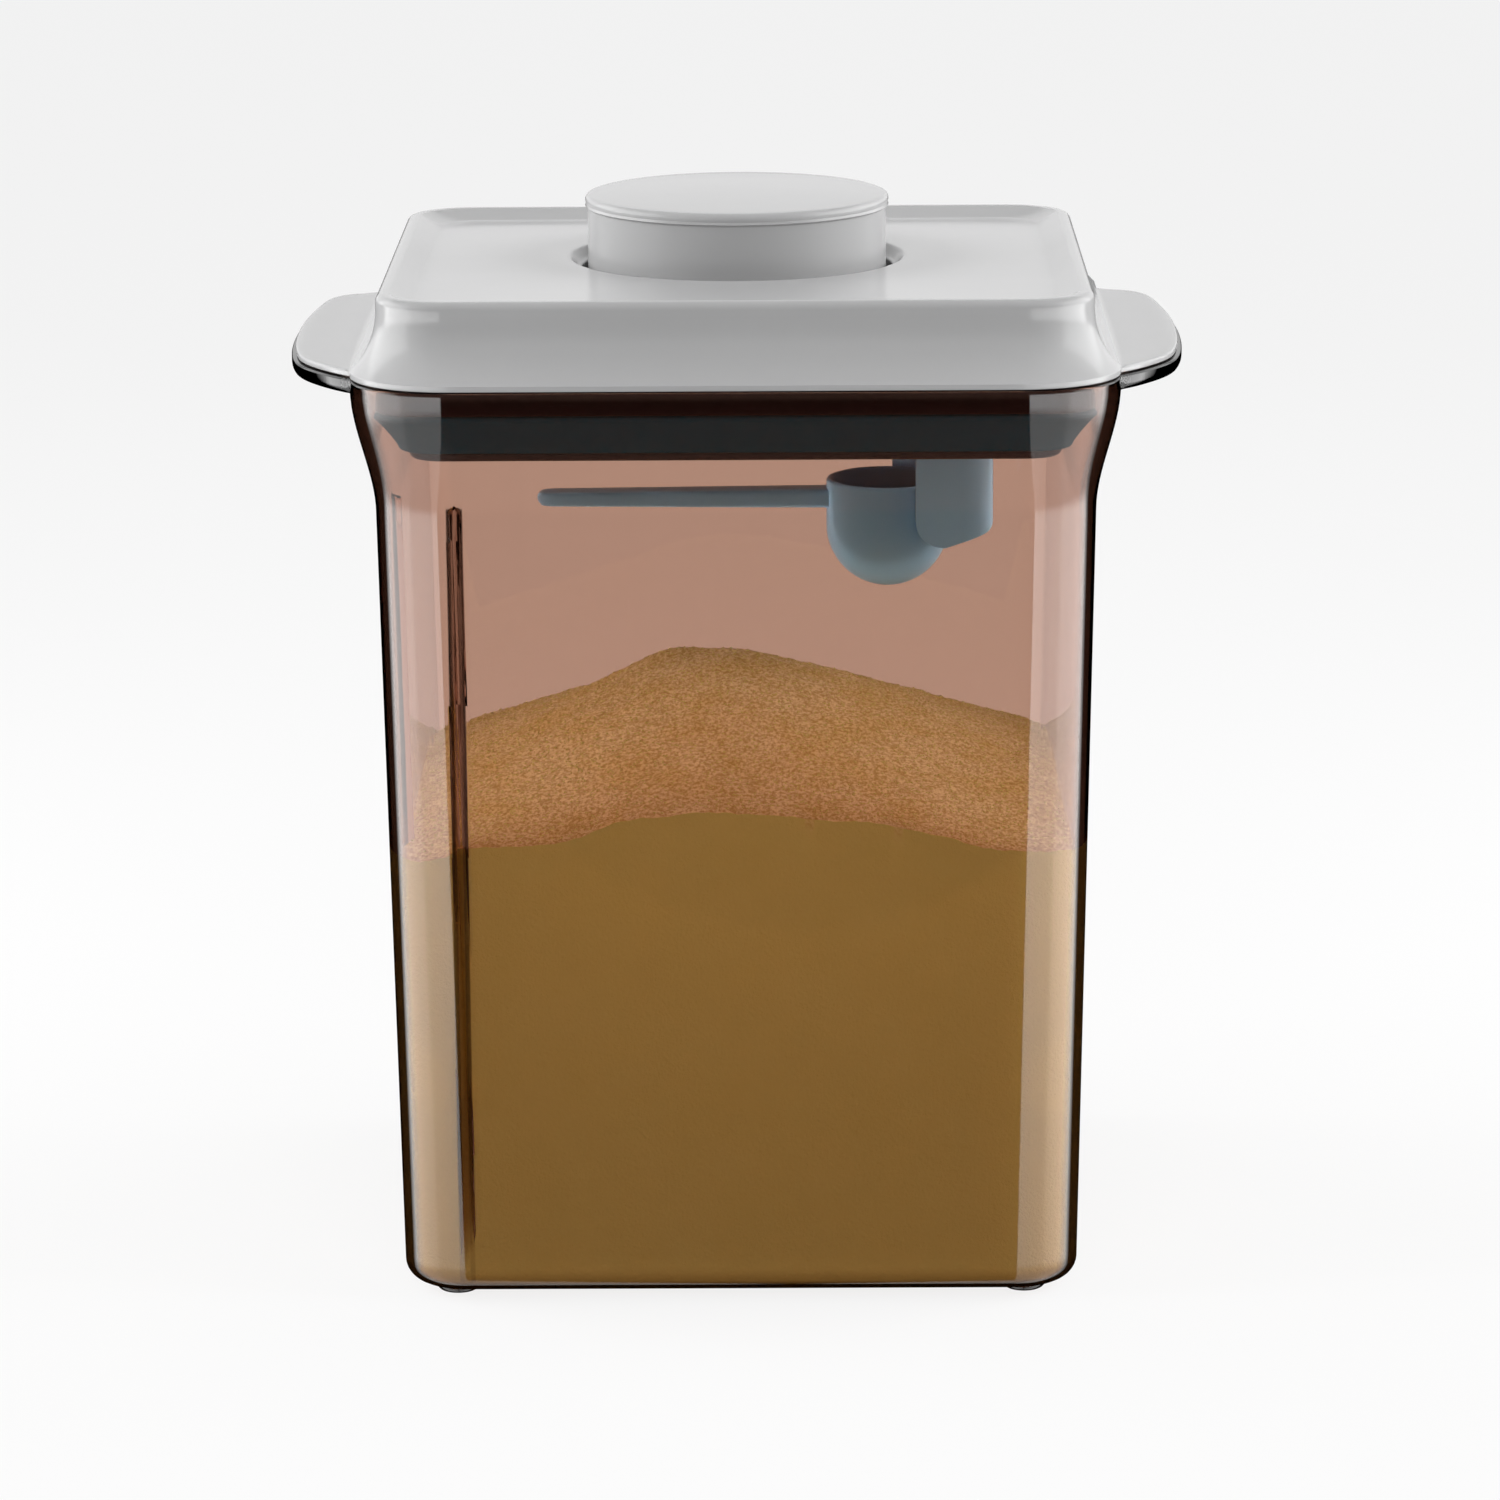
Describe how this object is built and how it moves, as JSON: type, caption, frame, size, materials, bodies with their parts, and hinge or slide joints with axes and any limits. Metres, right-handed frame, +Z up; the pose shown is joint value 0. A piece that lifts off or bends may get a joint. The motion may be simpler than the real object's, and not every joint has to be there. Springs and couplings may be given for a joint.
{
  "type": "milk powder container",
  "caption": "Clear amber jar with a heap of milk powder, two ears, a grey lid with a push button, a sealing ring, and a scoop hanging in its clip under the lid.",
  "frame": {"origin": "on the surface it stands on, under the middle of the ears' span and of the lid's depth", "axes": "+Z up, +X to the right along the ears, front towards -Y"},
  "size_m": [0.175, 0.142, 0.209],
  "materials": {
    "amber": "clear tinted plastic, polished",
    "lid_grey": "light grey plastic with a soft gloss",
    "plug_grey": "grey plastic, satin",
    "seal_teal": "soft dark silicone",
    "scoop_teal": "blue grey plastic, satin",
    "powder": "fine cream powder"
  },
  "bodies": {
    "container": {"jar_body": "amber", "lid_shell": "lid_grey", "lid_plug": "plug_grey", "sealing_ring": "seal_teal", "scoop": "scoop_teal", "scoop_clip": "scoop_teal", "milk_powder": "powder"},
    "button": {"push_button": "lid_grey"}
  },
  "joints": [
    {"name": "button_press", "type": "slide", "parent": "container", "child": "button", "axis": [0, 0, -1], "range_m": [0, 0.012], "stiffness_N_per_m": 500, "springref_m": -0.004}
  ]
}
